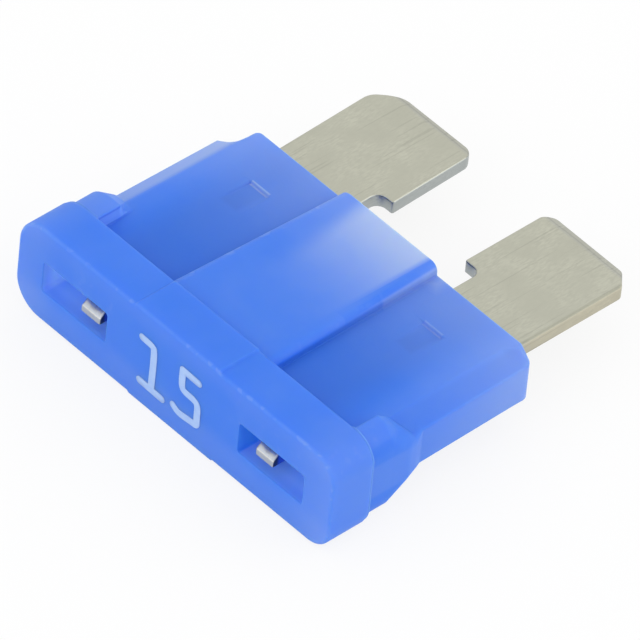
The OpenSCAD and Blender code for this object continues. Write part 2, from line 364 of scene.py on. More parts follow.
def body_corners(side, y, inset=0.0):
    """The same along the body. inset draws the section in for the round of the end edge."""
    bulge, level = drafted(side["bulge"], y), drafted(PANEL_Z, y)
    start = np.array([panel_edge(side, y) - 0.4 * inset, level - inset])
    corner = outer_corner(side, y) - [inset, 0.3 * inset]
    radius = min(BEVEL_R, 0.4 * np.hypot(*(corner - start)))
    return np.array([
        [bulge - inset, drafted(BULGE_Z, y) - inset, side["bulge_r"]],
        [bulge - inset, level - inset, FOOT],
        [min(side["block_in"], start[0] - 0.15), level - inset, 0.0], [*start, radius],
        [*(start + (corner - start) * 0.5), 0.0], [*corner, radius],
    ])


def shoulder_corners(side, y):
    """From the block's back to the body: each section is a straight mix of the two that it lies
    between, by its share of the way from one to the other."""
    if y < RAMP_END:
        share = (y - BLOCK_END) / (RAMP_END - BLOCK_END)
        return mixed(block_corners(side, y), ramp_corners(side, y), share)
    if y < side["crease_y"]:
        share = (y - RAMP_END) / (side["crease_y"] - RAMP_END)
        return mixed(ramp_corners(side, y), crease_corners(side, y), share)
    share = min((y - side["crease_y"]) / (side["slope_y"] - side["crease_y"]), 1.0)
    return mixed(crease_corners(side, y), body_corners(side, y), share)


print("corners of the head's right half, as x, z and radius:")
print(head_corners(RIGHT).round(2))

# %% [markdown]
# The straight stretches between the corners are cut where the surface needs points: beside each arc, so
# that the smooth shading stays on the flat, and closely at the edges of the staking marks. The same cuts
# serve every station. Each point also gets a value, 1 in the middle of a round edge and 0 on the flats, by
# which the finish paints a highlight along the edges later.

# %% One quarter of a section, and a whole ring
ARC_STEPS = (7, 5, 5, 6, 3, 12)
# The edge values of the six corners, in the head and on either side of the body
HEAD_SHINE = (0.3, 0.0, 0.0, 0.0, 0.0, 0.1)
LEFT_SHINE = (0.7, 0.0, 0.0, 0.05, 0.0, 0.1)
RIGHT_SHINE = (0.1, 0.0, 0.0, 0.0, 0.0, 0.1)
# Cuts on either side of a mark's edge, the y that the panel's cuts are worked out for, and their gap
MARK_CUTS = np.array([-0.12, -0.05, -0.035, 0.0, 0.035, 0.05, 0.12])
CUT_Y, CUT_GAP = 8.5, 0.012


def panel_cuts():
    """Shares of the way across a side panel, close together at both edges of a staking mark. Even
    shares fill the rest, except within CUT_GAP of those."""
    start, end = drafted(RIGHT["bulge"], CUT_Y) + FOOT, LEFT["block_in"]
    edges = np.concatenate([MARK[side] + MARK_CUTS for side in ("inner", "outer")])
    even = np.linspace(0, 1, 13)[1:-1]
    marks = (edges - start) / (end - start)
    even = even[np.abs(even[:, None] - marks).min(1) > CUT_GAP]
    return np.sort(np.concatenate([[0.006, 0.994], even, marks]))


SHORT_CUTS = np.array([0.1, 0.5, 0.9])
CUTS = (
    np.concatenate([np.linspace(0, 0.9, 8), [0.985]]), SHORT_CUTS, panel_cuts(),
    SHORT_CUTS, SHORT_CUTS, SHORT_CUTS, np.array([0.04, 0.35, 0.7, 1.0]),
)
print("points in a quarter of a section:", sum(ARC_STEPS) + sum(len(cuts) for cuts in CUTS))


def quarter(corners, shine):
    """Points from the middle of the top, round the corners, to the middle of the side, as rows of
    x, z and edge value. The value follows a half sine wave along each arc."""
    line = np.vstack([[0, corners[0, 1]], corners[:, :2], [corners[-1, 0], 0]])
    arcs = [
        round_corner(line[k], line[k + 1], line[k + 2], corners[k, 2], ARC_STEPS[k])
        for k in range(len(corners))
    ]
    starts = [line[0]] + [arc[-1] for arc in arcs]
    ends = [arc[0] for arc in arcs] + [line[-1]]
    points = []
    for k, (start, end) in enumerate(zip(starts, ends)):
        cut = start + (end - start) * CUTS[k][:, None]
        points.append(np.column_stack([cut, np.zeros(len(cut))]))
        if k < len(arcs):
            wave = shine[k] * np.sin(np.linspace(0, math.pi, ARC_STEPS[k]))
            points.append(np.column_stack([arcs[k], wave]))
    return np.vstack(points)


def mark_depth(x, y):
    """The staking mark: a ramp that deepens along Y, times a window across X. Its steep end rises
    over a short distance."""
    ramp = np.clip((y - MARK["start"]) / (MARK["end"] - MARK["start"]), 0, 1)
    steep = np.clip((MARK["end"] + MARK["wall"] - y) / MARK["wall"], 0, 1)
    reach = np.minimum(np.abs(x) - MARK["inner"], MARK["outer"] - np.abs(x))
    window = np.clip(reach / MARK["wall"] + 0.5, 0, 1)
    return MARK["depth"] * np.minimum(ramp, steep) * window


def ring(y, right, left, shine):
    """A whole ring at y: both quarters over the top, and their mirror image below, as rows of
    x, y, z and edge value. shine is the value of the whole ring."""
    in_head = y < HEAD_LEN
    right_line = quarter(right, HEAD_SHINE if in_head else RIGHT_SHINE)
    left_line = quarter(left, HEAD_SHINE if in_head else LEFT_SHINE)
    top = np.vstack([left_line[::-1] * [-1, 1, 1], right_line[1:]])
    top[:, 1] -= mark_depth(top[:, 0], y)
    below = top[::-1][1:-1] * [1, -1, 1]
    flat = np.vstack([top, below])
    edge = np.maximum(flat[:, 2], shine)
    return np.column_stack([upright(flat, y), edge])


# %% [markdown]
# The stations follow the housing from the front edge to the blade end. Where an edge is round, the
# section is drawn in while y turns through a quarter circle. Where the head drops to the body, two
# rings lie at the same y and the wall between them is flat, and a small round foot follows it.
# Behind the shoulder block its top comes down a ramp, and then the side draws in to the body.

# %% The stations of the housing
TURN = np.linspace(0, math.pi / 2, 6)
FOOT_TURN = TURN[[0, 2, 4, 5]]
RIM_SHINE, BACK_SHINE, END_SHINE = 0.5, 0.08, 1.0
STEP_SHARES = (0.06, 0.5, 0.94)
SHOULDER_YS = (3.58, 3.8, 4.05, 4.3, 4.45, 4.6, 4.7, 4.85, 4.97, 5.1, 5.25, 5.4, 5.5)
PANEL_YS = (5.55, 6.2, 6.9)
SLANT_YS = (9.8, 10.1, 10.22, 10.27, 10.32, 10.5, 10.7, 10.9, 11.1, 11.15, 11.2)


def step_corners(side, share):
    """The flat wall behind the head: a mix of the head's last section and the block's first."""
    return mixed(head_corners(side, back=BACK_EDGE), block_corners(side, HEAD_LEN, FOOT), share)


def mark_ys():
    """Where sections lie along a staking mark: near its start, evenly down its ramp, and closely at
    its steep end."""
    start, end, wall = MARK["start"], MARK["end"], MARK["wall"]
    at_start, ramp = start + np.array([-0.1, 0.0, 0.1]), np.arange(start + 0.3, end - 0.15, 0.25)
    at_end = [end - 0.08, end - 0.03, end, end + 0.02, end + wall - 0.02, end + wall, end + wall + 0.05]
    return np.concatenate([at_start, ramp, at_end])


def housing_stations():
    """A list of y, right corners, left corners and shine, from the head's face to the blade end."""
    out = []

    def both(y, corners, shine=0.0):
        out.append((y, corners(RIGHT), corners(LEFT), shine))

    for a in TURN:
        y, rim = RIM * (1 - math.cos(a)), RIM * (1 - math.sin(a))
        both(y, lambda s: head_corners(s, rim=rim), RIM_SHINE * math.sin(2 * a))
    both(HEAD_LEN / 2, head_corners)
    for a in TURN:
        y, back = HEAD_LEN - BACK_EDGE * (1 - math.sin(a)), BACK_EDGE * (1 - math.cos(a))
        both(y, lambda s: head_corners(s, back=back), BACK_SHINE * math.sin(2 * a))
    for share in STEP_SHARES:
        both(HEAD_LEN, lambda s: step_corners(s, share))
    for a in FOOT_TURN:
        y = HEAD_LEN + FOOT * (1 - math.cos(a))
        both(y, lambda s: block_corners(s, y, FOOT * (1 - math.sin(a))))
    for y in (HEAD_LEN + FOOT + 0.05, (HEAD_LEN + BLOCK_END) / 2, BLOCK_END - 0.06, BLOCK_END):
        both(y, lambda s: block_corners(s, y))
    for y in SHOULDER_YS:
        both(y, lambda s: shoulder_corners(s, y))
    end_ys = np.linspace(HOUSING_LEN - END_R, HOUSING_LEN - END_EDGE, 7)
    for y in np.concatenate([PANEL_YS, mark_ys(), SLANT_YS, end_ys]):
        both(y, lambda s: body_corners(s, y))
    for a in TURN[1:]:
        y, drawn = HOUSING_LEN - END_EDGE * (1 - math.sin(a)), END_EDGE * (1 - math.cos(a))
        both(y, lambda s: body_corners(s, y, inset=drawn), END_SHINE * math.sin(2 * a))
    return out


skin_rows = np.stack([ring(*station) for station in housing_stations()])
skin, skin_edge = skin_rows[..., :3], skin_rows[..., 3]
print("housing skin:", skin.shape[0], "rings of", skin.shape[1], "points")

# %% [markdown]
# The face of the head is flat, with a test pocket on each side, and the blade end is flat, with the
# long slot for the metal and the hollow for the fuse link in its middle. Each hollow is a loft of
# its own outline: a small round at its mouth, straight walls, and a flat floor.

# %% Pockets and the hollow
POCKET_W, POCKET_LOW, POCKET_HIGH, POCKET_DEPTH = 3.9, -0.86, 0.74, 1.5
POCKET_MIDDLES, POCKET_R = (-6.03, 5.92), 0.14
SLOT_X, SLOT_Z = 7.47, METAL_Z + 0.05
CAVITY_X, CAVITY_Z = 2.4, 1.45
MOUTH, MOUTH_CUT = 0.05, 0.6


def pocket_corners(middle):
    """The pocket's outline on the face, counter-clockwise, as x, z and radius."""
    low, high = middle - POCKET_W / 2, middle + POCKET_W / 2
    return np.array([
        [low, POCKET_LOW, POCKET_R], [high, POCKET_LOW, POCKET_R],
        [high, POCKET_HIGH, POCKET_R], [low, POCKET_HIGH, POCKET_R],
    ])


def hollow_corners():
    """The slot with the wider hollow across its middle, counter-clockwise."""
    right = [[CAVITY_X, -CAVITY_Z, 0.2], [CAVITY_X, -SLOT_Z, 0.1], [SLOT_X, -SLOT_Z, 0.06]]
    upper = [[x, -z, r] for x, z, r in right[::-1]]
    left = [[-x, z, r] for x, z, r in upper[::-1]]
    lower = [[-x, z, r] for x, z, r in right[::-1]]
    return np.array(right + upper + left + lower)


def hollow_loft(corners, mouth_y, floor_y):
    """Rings from the mouth, which is a little wide, in to the floor, which has a round edge. Both
    rounds are quarter circles: y moves by 1 - cosine at the mouth while the outline shrinks by
    1 - sine, and the other way about at the floor."""
    sign = 1 if floor_y > mouth_y else -1
    turn = np.linspace(0, math.pi / 2, 4)
    stations = [(mouth_y + sign * MOUTH * (1 - math.cos(a)), MOUTH * (1 - math.sin(a))) for a in turn]
    stations += [(mouth_y + (floor_y - mouth_y) * s, 0.0) for s in (0.3, 0.7)]
    stations += [(floor_y - sign * MOUTH * (1 - math.sin(a)), -MOUTH * (1 - math.cos(a))) for a in turn]
    cuts = edge_cuts(corners, MOUTH_CUT)
    ys, grows = zip(*stations)
    loops = [rounded_loop(offset_corners(corners, grow), 5, cuts) for grow in grows]
    return np.stack([upright(loop, y) for loop, y in zip(loops, ys)])


def face_at(y, outer, holes=()):
    """A flat face at y between an outer loop of 3-D points and the loops of its holes."""
    flat, triangles = flat_face(outer[:, [0, 2]], [hole[:, [0, 2]] for hole in holes])
    return upright(flat, y), triangles


def margin(loop, y, width):
    """A copy of a loop at y, scaled in x and z so that its widest points move in by the width."""
    inner = loop.copy()
    inner[:, 0] *= 1 - width / HEAD_X
    inner[:, 2] *= 1 - width / np.abs(loop[:, 2]).max()
    inner[:, 1] = y
    return inner


pockets = [hollow_loft(pocket_corners(middle), 0.0, POCKET_DEPTH) for middle in POCKET_MIDDLES]
hollow = hollow_loft(hollow_corners(), HOUSING_LEN, HEAD_LEN)
print("rings and points of a pocket:", pockets[0].shape[:2], "and of the hollow:", hollow.shape[:2])

# %% Build the housing
MARGIN = 0.03
MOUTH_SHINE, UPPER_LIP = np.array([0.2, 0.6, 0.6, 0.2]), 0.7

front_loop = margin(skin[0], 0.0, MARGIN)
back_loop = margin(skin[-1], HOUSING_LEN, MARGIN)
around = np.zeros((1, skin.shape[1]))
edge_values = np.concatenate([around, skin_edge, around]).ravel()
housing_parts = [
    (*loft(np.concatenate([front_loop[None], skin, back_loop[None]])), edge_values),
    (*face_at(0.0, front_loop, [pocket[0] for pocket in pockets]), 0.0),
    (*face_at(HOUSING_LEN, back_loop, [hollow[0]]), 0.0),
]
for walls, floor_y in ((pockets[0], POCKET_DEPTH), (pockets[1], POCKET_DEPTH), (hollow, HEAD_LEN)):
    mouth_value = np.zeros(walls.shape[:2])
    mouth_value[:4] = MOUTH_SHINE[:, None] * (walls[0, :, 2] > UPPER_LIP)
    housing_parts += [(*loft(walls), mouth_value.ravel()), (*face_at(floor_y, walls[-1]), 0.0)]
housing = make_piece("housing_shell", housing_parts, "housing")

# %% [markdown]
# The element is stamped from one flat strip. Each blade is an outline with its own corner radii,
# carried through the thickness: the punch rolls the upper edge a little, so that edge is rounder.
# The blade gets thinner over the last half millimetre, where its faces are coined to lead it in.

# %% The outline of one blade
METAL_START, TEST_SETBACK = HEAD_LEN + 0.05, 0.12
LEAD_LEN, LEAD_DEPTH = 0.42, 0.08
INNER_CUT, INNER_CUT_R = 0.36, 0.55
ROLL, BURR = 0.09, 0.03
TIP_ROLL, TIP_DROP, TIP_R = 0.38, 0.34, 0.05
FACE_CUT, FACE_ROWS, FACE_CLEAR = 0.3, (-0.03, 0.0, 0.03, 0.15), 0.08
RIGHT_BLADE = {
    "inner": 2.22, "outer": 7.39, "lean": 0.0, "tip": TOTAL_LEN + 0.14, "cut": 0.74, "cut_r": 0.35,
    "neck": 3.13, "notch": 14.1, "notch_r": 0.4, "test": (4.88, 5.95),
}
LEFT_BLADE = {
    "inner": 2.03, "outer": 7.42, "lean": 0.031, "tip": TOTAL_LEN + 0.1, "cut": 1.05, "cut_r": 0.9,
    "neck": 2.88, "notch": 14.05, "notch_r": 0.45, "test": (4.58, 5.72),
}


def blade_corners(blade):
    """Corners of one blade with its test tip, as x, y and radius, drawn on the right. The body's
    corners move out by the lean times their distance from the housing."""
    near, far = blade["test"]
    body = np.array([
        [blade["outer"], METAL_START, 0.3],
        [blade["outer"], blade["tip"] - blade["cut"], blade["cut_r"]],
        [blade["outer"] - blade["cut"], blade["tip"] - 0.02, blade["cut_r"]],
        [blade["inner"] + INNER_CUT, blade["tip"], INNER_CUT_R],
        [blade["inner"], blade["tip"] - INNER_CUT, INNER_CUT_R],
        [blade["inner"], blade["notch"], 0.1], [blade["neck"], blade["notch"], blade["notch_r"]],
        [blade["neck"], METAL_START, 0.3],
    ])
    body[:, 0] += blade["lean"] * (body[:, 1] - HOUSING_LEN)
    tip = [
        [near, METAL_START, TIP_R], [near, TEST_SETBACK, 2 * TIP_R],
        [far, TEST_SETBACK, TIP_R], [far, METAL_START, TIP_R],
    ]
    return np.vstack([tip, body])


def mirrored(corners):
    """The outline on the other side of x = 0, in reverse, so that it still turns the same way."""
    return corners[::-1] * [-1, 1, 1]


def well_inside(points, loop):
    """Keeps the points inside a loop that are at least FACE_CLEAR away from its own points."""
    far = np.hypot(*(points[:, None] - loop).transpose(2, 0, 1)).min(1) > FACE_CLEAR
    return points[is_inside(points, loop) & far]


def thinned(points):
    """Scales the height of the points near the blade's tip, where both faces slope in, and lowers
    the upper face at the front of the test tip, where the punch has rolled it over. Both grow in a
    straight line with the distance past the place where they start."""
    share = np.clip((points[:, 1] - (TOTAL_LEN - LEAD_LEN)) / LEAD_LEN, 0, 1)
    rolled = np.clip((TEST_SETBACK + TIP_ROLL - points[:, 1]) / TIP_ROLL, 0, 1)
    points = points.copy()
    points[:, 2] *= 1 - share * LEAD_DEPTH / METAL_Z
    points[:, 2] -= TIP_DROP * rolled * (points[:, 2] > 0)
    return points


def blade_parts(corners):
    """Rings from the upper face, over the rolled edge, down the sheared side, to the lower face."""
    turn = np.linspace(0, math.pi / 2, 5)
    levels = [(-ROLL - 0.02, METAL_Z)]
    levels += [(-ROLL * (1 - math.sin(a)), METAL_Z - ROLL * (1 - math.cos(a))) for a in turn]
    levels += [(-BURR * (1 - math.cos(a)), -METAL_Z + BURR * (1 - math.sin(a))) for a in turn]
    levels += [(-BURR - 0.02, -METAL_Z)]
    rings, cuts = [], edge_cuts(corners, FACE_CUT)
    for grow, z in levels:
        flat = rounded_loop(offset_corners(corners, grow), 7, cuts)
        rings.append(np.stack([flat[:, 0], flat[:, 1], np.full(len(flat), z)], 1))
    rings = np.stack(rings)
    lead = TOTAL_LEN - LEAD_LEN
    xs = np.linspace(corners[:, 0].min() + 0.25, corners[:, 0].max() - 0.25, 24)
    rows = [np.stack([xs, np.full(len(xs), lead + dy)], 1) for dy in FACE_ROWS]
    faces = []
    for index, z in ((0, METAL_Z), (-1, -METAL_Z)):
        loop = rings[index][:, :2]
        flat, triangles = flat_face(loop, inside=well_inside(np.vstack(rows), loop))
        faces.append((thinned(np.column_stack([flat, np.full(len(flat), z)])), triangles, 0.0))
    points, quads = loft(rings)
    return [(thinned(points), quads, 0.0), *faces]


outline = blade_corners(RIGHT_BLADE)
print("right blade:", np.ptp(outline[:, 0]).round(2), "mm wide,", np.ptp(outline[:, 1]).round(2), "long")

# %% The fuse link
LINK_T, LINK_W, LINK_R, LINK_LEG = 0.3, 0.8, 1.3, 2.4
BULGE_WALL, LINK_ROOM, LINK_LAP = 0.65, 0.5, 0.2
LINK_Y = HEAD_LEN + BULGE_WALL + LINK_ROOM + LINK_W / 2 + LINK_R


def link_parts():
    """The ribbon inside the bulge: a flat section carried up one leg, round the half circle of the
    arch and down. Each ring stands across the path, along the normal of its direction."""
    bend = np.linspace(math.pi, 2 * math.pi, 25)
    arch = np.stack([LINK_R * np.cos(bend), LINK_Y + LINK_R * np.sin(bend)], 1)
    foot_y = LINK_Y + LINK_LEG
    left, right = -LEFT_BLADE["neck"] + LINK_LAP, RIGHT_BLADE["neck"] + 0.02
    bends = [[-LINK_R, foot_y - 0.02], *arch, [LINK_R, foot_y - 0.02]]
    path = np.vstack([[left, foot_y], *bends, [right, foot_y]])
    ahead = np.gradient(path, axis=0)
    ahead /= np.hypot(ahead[:, 0], ahead[:, 1])[:, None]
    side = np.stack([ahead[:, 1], -ahead[:, 0]], 1)
    section = np.array([[1, 1], [-1, 1], [-1, -1], [1, -1]]) * [LINK_W / 2, LINK_T / 2]
    rings = np.stack([
        np.column_stack([path + side * across, np.full(len(path), up)]) for across, up in section
    ], 1)
    points, quads = loft(rings)
    last = len(points) - 4
    caps = np.array([[0, 1, 2, 3], [last + 3, last + 2, last + 1, last]])
    return [(points, np.vstack([quads, caps]), 0.0)]


right_parts = blade_parts(blade_corners(RIGHT_BLADE))
left_parts = blade_parts(mirrored(blade_corners(LEFT_BLADE)))
element = make_piece("fuse_metal", right_parts + left_parts + link_parts(), "fuse_element")

# %% [markdown]
# The number is a film of ink on the head's face. Each stroke is a chain of capsules, which are
# short bars with round ends, so that ends and joints come out round like those of a pen. Corner
# cutting rounds the turns first: each pass puts two points on every length, at 1/4 and 3/4 of it.
# The film is the union of all capsules, found by triangulating their outlines together.

# %% The printed number
INK_WIDTH = 0.37
ONE = [
    [[-1.94, 1.08], [-1.34, 1.06], [-1.17, 0.93], [-1.2, -1.27]],
    [[-1.9, -1.28], [-0.54, -1.33]],
]
FIVE = [
    [[1.48, 1.08], [0.53, 1.12]],
    [
        [0.53, 1.12], [0.52, 0.14], [0.8, 0.03], [1.28, 0.03], [1.55, -0.12], [1.55, -0.85],
        [1.57, -1.22], [1.15, -1.25], [0.45, -1.33], [0.14, -1.14],
    ],
]


def corner_cut(points, passes):
    """Rounds a path by corner cutting, and keeps its two ends."""
    points = np.asarray(points, float)
    for _ in range(passes):
        a, b = points[:-1], points[1:]
        inner = np.stack([0.75 * a + 0.25 * b, 0.25 * a + 0.75 * b], 1).reshape(-1, 2)
        points = np.vstack([points[:1], inner[1:-1], points[-1:]])
    return points


def capsule(a, b, width, steps=10):
    """The outline of a bar with round ends: a half circle round each end of the middle line."""
    start = math.atan2(b[1] - a[1], b[0] - a[0])
    turn = np.linspace(-math.pi / 2, math.pi / 2, steps) + start
    arc = np.stack([np.cos(turn), np.sin(turn)], 1) * width / 2
    return np.vstack([b + arc, a - arc])


def print_parts(strokes):
    """The front of the film, its back on the face of the head, and its thin sides, which stand on
    every edge that only one triangle has."""
    paths = [corner_cut(path, 2 if len(path) > 2 else 0) for path in strokes]
    loops = [capsule(a, b, INK_WIDTH) for path in paths for a, b in zip(path[:-1], path[1:])]
    edges = loop_edges(loops).tolist()
    found = geometry.delaunay_2d_cdt(np.vstack(loops).tolist(), edges, [], 0, 1e-5)
    flat = np.array([[x, z] for x, z in found[0]])
    triangles = np.array(found[2])
    middles = flat[triangles].mean(1)
    triangles = triangles[np.any([is_inside(middles, loop) for loop in loops], axis=0)]
    ways = triangles[:, [0, 1, 1, 2, 2, 0]].reshape(-1, 2)
    known = {tuple(way) for way in ways.tolist()}
    rim = np.array([way for way in ways.tolist() if (way[1], way[0]) not in known])
    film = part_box("rating_number")[0].y / MM - FACE_Y
    count = len(flat)
    sides = np.stack([rim[:, 0], rim[:, 1], rim[:, 1] + count, rim[:, 0] + count], 1)
    film_points = np.vstack([upright(flat, film), upright(flat, 0.0)])
    return [(film_points, np.vstack([triangles, triangles + count]), 0.0), (film_points, sides, 0.0)]


number = make_piece("number_film", print_parts(ONE + FIVE), "rating_number")

# %% [markdown]
# A finish here is a small network of nodes. These helpers make a node, set its values or link other
# nodes to it, and give back what it puts out, so that a finish reads like a sum.

# %% Helpers for nodes
def set_inputs(tree, made, values):
    """Links each value that another node puts out, and sets each plain one, by name or number."""
    for key, value in values.items():
        if isinstance(value, bpy.types.NodeSocket):
            tree.links.new(value, made.inputs[key])
        else:
            made.inputs[key].default_value = value


def node(tree, kind, values=None, **settings):
    """A new node: settings are its own properties, and values go to its inputs."""
    made = tree.nodes.new("ShaderNode" + kind)
    for name, value in settings.items():
        setattr(made, name, value)
    set_inputs(tree, made, values or {})
    return made


def maths(tree, operation, *values, clamp=False):
    """One step of arithmetic."""
    return node(tree, "Math", dict(enumerate(values)), operation=operation, use_clamp=clamp).outputs[0]


def add(tree, *values):
    """The sum of several values."""
    total = values[0]
    for value in values[1:]:
        total = maths(tree, "ADD", total, value)
    return total


def times(tree, *values):
    """The product of several values."""
    total = values[0]
    for value in values[1:]:
        total = maths(tree, "MULTIPLY", total, value)
    return total


def rise(tree, value, low, high, to_low=0.0, to_high=1.0):
    """A smooth step from to_low to to_high while the value goes from low to high."""
    values = {"Value": value, "From Min": low, "From Max": high, "To Min": to_low, "To Max": to_high}
    return node(tree, "MapRange", values, interpolation_type="SMOOTHSTEP").outputs[0]


def tint(tree, share, first, second):
    """Mixes two colours: the first where the share is 0, the second where it is 1."""
    return node(tree, "Mix", {0: share, 6: first, 7: second}, data_type="RGBA").outputs[2]


def noise(tree, point, scale, detail):
    """Smooth noise around 0.5: scale is its waves per mm, detail how often finer ones are added."""
    return node(tree, "TexNoise", {"Vector": point, "Scale": scale, "Detail": detail}).outputs[0]


def new_group(name, inputs, outputs):
    """An empty node group with named sockets, its input node's sockets and its output node's."""
    group = bpy.data.node_groups.new(name, "ShaderNodeTree")
    for way, sockets in (("INPUT", inputs), ("OUTPUT", outputs)):
        for title, kind in sockets.items():
            group.interface.new_socket(title, in_out=way, socket_type="NodeSocket" + kind)
    return group, group.nodes.new("NodeGroupInput").outputs, group.nodes.new("NodeGroupOutput").inputs


def use_group(tree, group, **values):
    """Places a group, with its inputs set or linked, and gives back its outputs."""
    placed = tree.nodes.new("ShaderNodeGroup")
    placed.node_tree = group
    set_inputs(tree, placed, values)
    return placed.outputs


def new_material(name):
    """A material, its tree and its main shader."""
    material = bpy.data.materials.new(name)
    material.use_nodes = True
    return material, material.node_tree, material.node_tree.nodes["Principled BSDF"]


# %% Colours and places
def linear(red, green, blue):
    """A screen colour of 0 to 255 as the light that it stands for, with an alpha of 1: low values
    are divided by 12.92, and higher ones follow a power of 2.4."""
    parts = np.array([red, green, blue]) / 255
    light = np.where(parts <= 0.04045, parts / 12.92, ((parts + 0.055) / 1.055) ** 2.4)
    return (*light.tolist(), 1.0)


def fuse_point(tree):
    """The place on the piece in fuse millimetres, from its Object coordinates."""
    coordinates = node(tree, "TexCoord").outputs["Object"]
    values = {"Vector": coordinates, "Location": (0, -FACE_Y, -MID_Z), "Scale": (1 / MM,) * 3}
    return node(tree, "Mapping", values).outputs[0]


def places(tree):
    """What the finishes read: the point, its x, y and z, its distances from the fuse's two middle
    planes, and the point with the lower half folded up onto the upper one."""
    point = fuse_point(tree)
    x, y, z = node(tree, "SeparateXYZ", {0: point}).outputs
    across, height = maths(tree, "ABSOLUTE", x), maths(tree, "ABSOLUTE", z)
    folded = node(tree, "CombineXYZ", {0: x, 1: y, 2: height}).outputs[0]
    return SimpleNamespace(point=point, x=x, y=y, z=z, across=across, height=height, folded=folded)


print("half grey on a screen stands for", round(linear(128, 128, 128)[0], 3), "of the light")

# %% [markdown]
# Several finishes share the same few effects, so each is a group that is built once. Soft box is a mask
# that is 1 inside a box and fades at its sides. Mottle is the cloudy change of tone that every cast or
# stamped surface has, with a fine grain for its bump. Edge highlight turns the value that the meshes carry
# at their round edges into a painted highlight: a broken bright line and a few bright specks.

# %% Soft box
def make_soft_box():
    """Along each axis, the distance to the middle less half the size. The largest of the three,
    over the softness, falls in a smooth step from 1 to 0 as it goes from -0.5 to 0.5."""
    group, given, out = new_group(
        "soft_box",
        {"Point": "Vector", "Middle": "Vector", "Half": "Vector", "Soft": "Float"},
        {"Mask": "Float"},
    )
    pair = {0: given["Point"], 1: given["Middle"]}
    away = node(group, "VectorMath", pair, operation="SUBTRACT").outputs[0]
    size = node(group, "VectorMath", {0: away}, operation="ABSOLUTE").outputs[0]
    past = node(group, "VectorMath", {0: size, 1: given["Half"]}, operation="SUBTRACT").outputs[0]
    parts = node(group, "SeparateXYZ", {0: past}).outputs
    most = maths(group, "MAXIMUM", maths(group, "MAXIMUM", parts[0], parts[1]), parts[2])
    share = maths(group, "DIVIDE", most, given["Soft"])
    group.links.new(rise(group, share, -0.5, 0.5, 1.0, 0.0), out["Mask"])
    return group


# %% Mottle and grain
def make_mottle():
    """Tone is coarse noise around 0, and Height is fine noise."""
    group, given, out = new_group(
        "mottle",
        {"Point": "Vector", "Cloud": "Float", "Grain": "Float"},
        {"Tone": "Float", "Height": "Float"},
    )
    cloud = noise(group, given["Point"], given["Cloud"], 3.0)
    group.links.new(maths(group, "SUBTRACT", cloud, 0.5), out["Tone"])
    group.links.new(noise(group, given["Point"], given["Grain"], 2.0), out["Height"])
    return group


# %% Edge highlight
def make_edge_highlight():
    """Line is the painted highlight: the edge value to the power of 1.5, less where the noise is high.
    Specks are painted bright specks: the edge value where the noise is highest."""
    group, given, out = new_group(
        "edge_highlight",
        {"Point": "Vector", "Break": "Float", "Size": "Float"},
        {"Line": "Float", "Specks": "Float"},
    )
    edge = node(group, "Attribute", attribute_name="highlight_value").outputs["Fac"]
    spots = noise(group, given["Point"], given["Size"], 1.0)
    gap = maths(group, "MULTIPLY", rise(group, spots, 0.45, 0.6), given["Break"])
    kept = maths(group, "SUBTRACT", 1.0, gap)
    group.links.new(maths(group, "MULTIPLY", maths(group, "POWER", edge, 1.5), kept), out["Line"])
    group.links.new(maths(group, "MULTIPLY", edge, rise(group, spots, 0.57, 0.66)), out["Specks"])
    return group


SOFT_BOX, MOTTLE, EDGE_HIGHLIGHT = make_soft_box(), make_mottle(), make_edge_highlight()
print("groups:", [group.name for group in bpy.data.node_groups])

# %% [markdown]
# The housing is a milky, slightly see-through blue. The light that shines through it is painted into its
# colour: a change from a deep blue, where the wall is thick or in shade, to a pale one, where the wall is
# thin: over the hollow at the blade end, along the far edges and on the narrow bevels. One value, the
# painted light, says how pale each place is. It is a sum of shares, each worked out for one part of the
# housing. A second value paints shade on the panels beside the head.

# %% The plastic's colours and patches
DEEP_BLUE, PAINTED_LIGHT_BLUE = linear(50, 118, 229), linear(182, 199, 228)
SHADE_BLUE = (0.02, 0.05, 0.25, 1.0)
# A patch is a soft box: its middle, its half size, how softly it ends, and its amount.
# Patches of painted light; a negative amount takes some away.
PAINTED_LIGHT_PATCHES = {
    "left block": ((-8.3, 3.2, 2.3), (1.3, 1.0, 0.6), 0.5, 0.06),
    # The steep end of each mark gets a painted highlight: a pair of bright lines with a painted dark line
    # between them.
    "right flank of the bulge": ((3.05, 11.6, 1.7), (0.12, 3.0, 0.17), 0.22, 0.2),
    "steep end of the left mark": ((-5.25, 9.39, 1.4), (0.54, 0.1, 0.4), 0.07, 0.45),
    "dark line in that end": ((-5.25, 9.39, 1.4), (0.54, 0.03, 0.4), 0.07, -0.3),
    "steep end of the right mark": ((5.25, 9.39, 1.4), (0.54, 0.1, 0.4), 0.07, 0.225),
    "dark line in the right one": ((5.25, 9.39, 1.4), (0.54, 0.03, 0.4), 0.07, -0.15),
}
# Patches of painted shade: in the staking marks and on the right bevel.
SHADY_PATCHES = {
    "right mark": ((5.32, 8.5, 1.4), (0.45, 0.8, 0.4), 0.3, 0.08),
    "left mark": ((-5.32, 8.5, 1.4), (0.45, 0.8, 0.4), 0.3, 0.08),
    "right bevel": ((8.5, 8.5, 1.2), (0.45, 4.5, 0.3), 0.3, 0.06),
}
# Painted light beside the hollow, less of it on the bulge's right round edge, the pockets' painted light
# on the left block's inner wall, and a rougher foot.
BESIDE_HOLLOW = ((3.4, 12.3, 1.45), (0.2, 1.2, 0.25), 0.9, 0.26)
ROUND_EDGE = ((2.85, 10.0, 2.0), (0.25, 3.5, 0.1), 0.1, -0.2)
BLOCK_WALL = ((-7.38, 3.3, 1.91), (0.07, 1.0, 0.27), 0.1, 0.5)
MATT_FOOT = ((3.12, 7.0, 1.53), (0.14, 5.4, 0.07), 0.06, 0.4)


